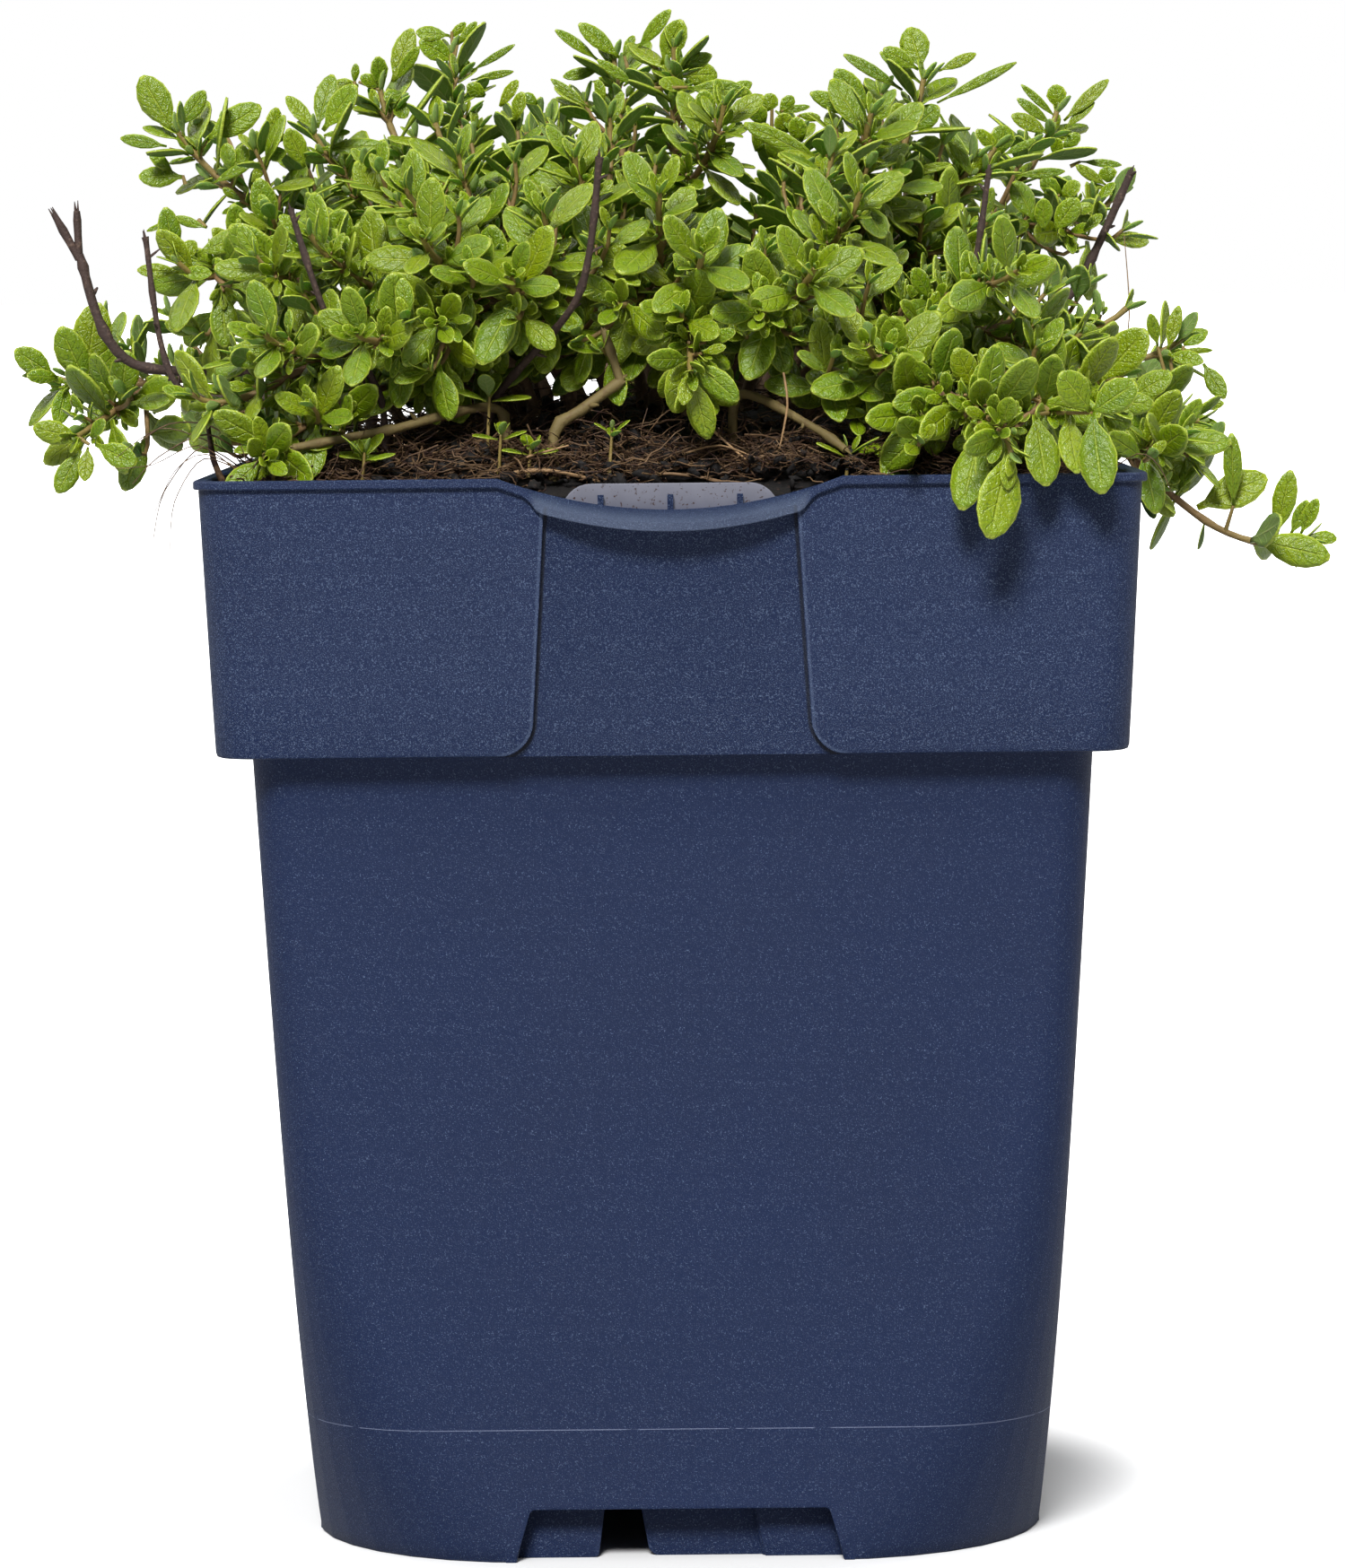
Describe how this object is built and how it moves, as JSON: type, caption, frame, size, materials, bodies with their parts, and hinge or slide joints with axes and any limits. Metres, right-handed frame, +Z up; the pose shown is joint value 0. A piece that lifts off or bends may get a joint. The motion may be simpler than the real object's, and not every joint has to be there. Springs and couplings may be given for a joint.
{
  "type": "potted thyme",
  "caption": "Bush of thyme with small paired oval leaves and a few bare woody stems, growing in a tapered square plastic pot with an overhanging collar and a dipped rim.",
  "frame": {"origin": "centre of the pot's foot, on the surface that the pot stands on", "axes": "+Z up, -Y out of the front of the pot as pictured, +X to the picture's right"},
  "size_m": [0.1629, 0.134, 0.1855],
  "materials": {
    "pot": "satin",
    "peat": "matte",
    "bark": "matte",
    "leaf": "satin"
  },
  "bodies": {
    "root": {"pot": "pot", "potting_soil": "peat", "bare_stem_forked": "bark", "bare_stem_left": "bark", "bare_stem_front_left": "bark", "bare_stem_tall": "bark", "bare_stem_cut": "bark", "bare_stem_right": "bark", "bare_stem_far_right": "bark", "runner_left": "bark", "runner_right": "bark", "bare_stem_green": "bark", "thyme_shoot_01": "leaf", "thyme_shoot_02": "leaf", "thyme_shoot_03": "leaf", "thyme_shoot_04": "leaf", "thyme_shoot_05": "leaf", "thyme_shoot_06": "leaf", "thyme_shoot_07": "leaf", "thyme_shoot_08": "leaf", "thyme_shoot_09": "leaf", "thyme_shoot_10": "leaf", "thyme_shoot_11": "leaf", "thyme_shoot_12": "leaf", "thyme_shoot_13": "leaf", "thyme_shoot_14": "leaf", "thyme_shoot_15": "leaf", "thyme_shoot_16": "leaf", "thyme_shoot_17": "leaf", "thyme_shoot_18": "leaf", "thyme_shoot_19": "leaf", "thyme_shoot_20": "leaf", "thyme_shoot_21": "leaf", "thyme_shoot_22": "leaf", "thyme_shoot_23": "leaf", "thyme_shoot_24": "leaf", "thyme_shoot_25": "leaf", "thyme_shoot_26": "leaf", "thyme_shoot_27": "leaf", "thyme_shoot_28": "leaf", "thyme_shoot_29": "leaf", "thyme_shoot_30": "leaf", "thyme_shoot_31": "leaf", "thyme_shoot_32": "leaf", "thyme_shoot_33": "leaf", "thyme_shoot_34": "leaf", "thyme_shoot_35": "leaf", "thyme_shoot_36": "leaf", "thyme_shoot_37": "leaf", "thyme_shoot_38": "leaf", "thyme_shoot_39": "leaf", "thyme_shoot_40": "leaf", "thyme_shoot_41": "leaf", "thyme_shoot_42": "leaf", "thyme_shoot_43": "leaf", "thyme_shoot_44": "leaf", "thyme_shoot_45": "leaf", "thyme_shoot_46": "leaf", "thyme_shoot_47": "leaf", "thyme_shoot_48": "leaf"}
  },
  "joints": []
}
